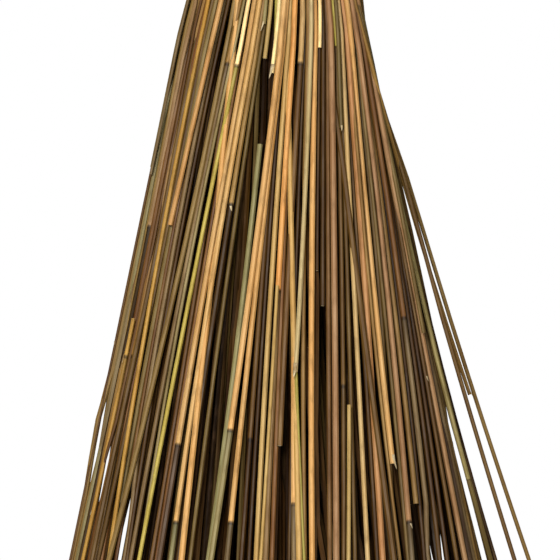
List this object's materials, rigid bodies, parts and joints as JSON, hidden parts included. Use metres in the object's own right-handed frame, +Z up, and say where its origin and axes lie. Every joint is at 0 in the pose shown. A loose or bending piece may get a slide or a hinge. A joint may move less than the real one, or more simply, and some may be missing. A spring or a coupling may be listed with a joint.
{
  "type": "reed garden torch",
  "caption": "Free-standing garden torch: a splayed sheaf of dried reed canes bound at the waist round a bamboo pole, holding a lift-out oil can with screw lid, wick and snuffer.",
  "frame": {"origin": "centre of the underside of the wooden foot, on the ground", "axes": "+Z up along the bamboo pole; +X towards the side where the two longest stray canes stand out; +Y away from the viewer who has those canes on the right"},
  "size_m": [0.3481, 0.3115, 0.7703],
  "materials": {
    "beech": "matte",
    "bamboo": "satin",
    "reed": "satin",
    "reed_pale": "satin",
    "reed_dark": "satin",
    "rope": "matte",
    "galvanised": "satin",
    "black_steel": "satin",
    "tinplate": "satin",
    "brass": "satin",
    "nitrile": "matte",
    "cotton": "matte"
  },
  "bodies": {
    "torch": {"base_disc": "beech", "centre_pole": "bamboo", "pole_plug": "beech", "reed_hank_01": "reed_pale", "reed_hank_02": "reed", "reed_hank_03": "reed_pale", "reed_hank_04": "reed", "reed_hank_05": "reed_pale", "reed_hank_06": "reed", "reed_hank_07": "reed_pale", "reed_hank_08": "reed", "reed_hank_09": "reed_pale", "reed_hank_10": "reed", "reed_hank_11": "reed_pale", "reed_hank_12": "reed", "outer_cane_01": "reed_pale", "outer_cane_02": "reed_dark", "outer_cane_03": "reed_dark", "outer_cane_04": "reed_pale", "outer_cane_05": "reed_dark", "outer_cane_06": "reed_dark", "outer_cane_07": "reed_pale", "outer_cane_08": "reed_dark", "outer_cane_09": "reed_dark", "outer_cane_10": "reed_pale", "outer_cane_11": "reed_dark", "outer_cane_12": "reed_dark", "binding_wire": "galvanised", "waist_lashing": "rope", "top_lashing": "rope", "canister_cup": "black_steel", "drip_plate": "black_steel", "cup_washer": "galvanised", "cup_screw": "galvanised"},
    "canister": {"canister_body": "tinplate", "canister_top": "tinplate"},
    "lid_seal": {"lid_gasket": "nitrile"},
    "lid": {"burner_lid": "black_steel", "wick_tube": "brass"},
    "wick": {"wick": "cotton"},
    "snuffer": {"snuffer_cap": "black_steel", "snuffer_screw": "galvanised", "snuffer_knob": "beech"}
  },
  "joints": [
    {"name": "canister_lift", "type": "slide", "parent": "torch", "child": "canister", "axis": [0, 0, 1], "range_m": [0, 0.11]},
    {"name": "lid_rise", "type": "slide", "parent": "canister", "child": "lid_seal", "axis": [0, 0, 1], "range_m": [0, 0.0046]},
    {"name": "lid_turn", "type": "hinge", "parent": "lid_seal", "child": "lid", "pos_m": [0, 0, 0.705], "axis": [0, 0, 1], "range_deg": [0, 540]},
    {"name": "wick_adjust", "type": "slide", "parent": "lid", "child": "wick", "axis": [0, 0, 1], "range_m": [-0.006, 0.008]},
    {"name": "snuffer_lift", "type": "slide", "parent": "lid", "child": "snuffer", "axis": [0, 0, 1], "range_m": [0, 0.05]}
  ],
  "couplings": [
    {"joint": "lid_rise", "follows": "lid_turn", "m_per_rad": 0.00047746}
  ]
}
